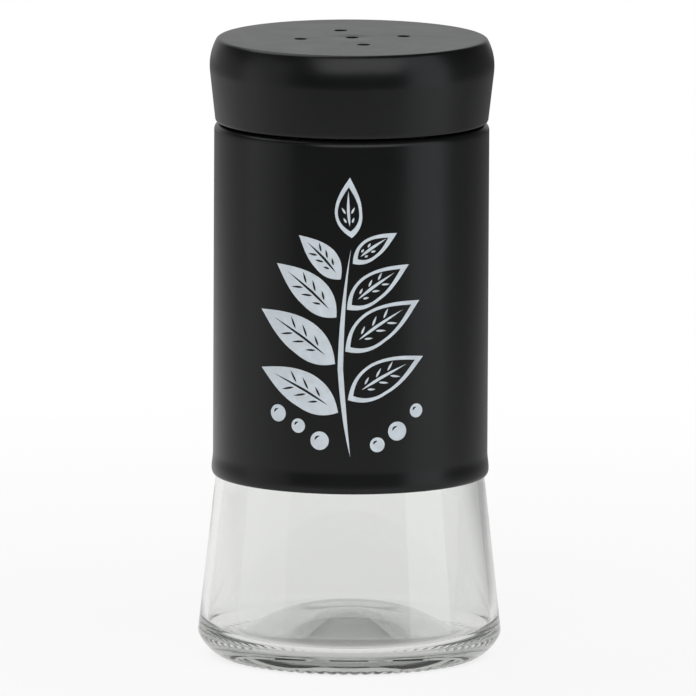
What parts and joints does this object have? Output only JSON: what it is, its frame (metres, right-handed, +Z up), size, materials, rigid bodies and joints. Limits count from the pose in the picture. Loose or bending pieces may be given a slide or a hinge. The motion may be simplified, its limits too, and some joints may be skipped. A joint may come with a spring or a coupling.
{
  "type": "spice shaker",
  "caption": "Table spice shaker: a footed clear glass jar in a satin black metal sleeve, closed by a black screw cap with sprinkle holes over a threaded plastic insert and a rim seal",
  "frame": {"origin": "on the axis, in the plane that the foot stands on", "axes": "+Z up along the axis of the jar and the screw cap; -Y is the front that the picture shows"},
  "size_m": [0.065, 0.065, 0.1337],
  "materials": {
    "glass": "clear, smooth",
    "sleeve_lacquer": "satin black lacquer",
    "seal": "soft, matte",
    "insert_plastic": "moulded black plastic",
    "cap_lacquer": "satin black lacquer"
  },
  "bodies": {
    "jar": {"glass_jar": "glass", "body_sleeve": "sleeve_lacquer"},
    "seal": {"rim_seal": "seal"},
    "cap": {"cap_insert": "insert_plastic", "cap_shell": "cap_lacquer"}
  },
  "joints": [
    {"name": "cap_rise", "type": "slide", "parent": "jar", "child": "seal", "axis": [0, 0, 1], "range_m": [0, 0.018]},
    {"name": "cap_turn", "type": "hinge", "parent": "seal", "child": "cap", "pos_m": [0, 0, 0.13], "axis": [0, 0, 1], "range_deg": [0, 1620]}
  ],
  "couplings": [
    {"joint": "cap_rise", "follows": "cap_turn", "m_per_rad": 0.00063662}
  ]
}
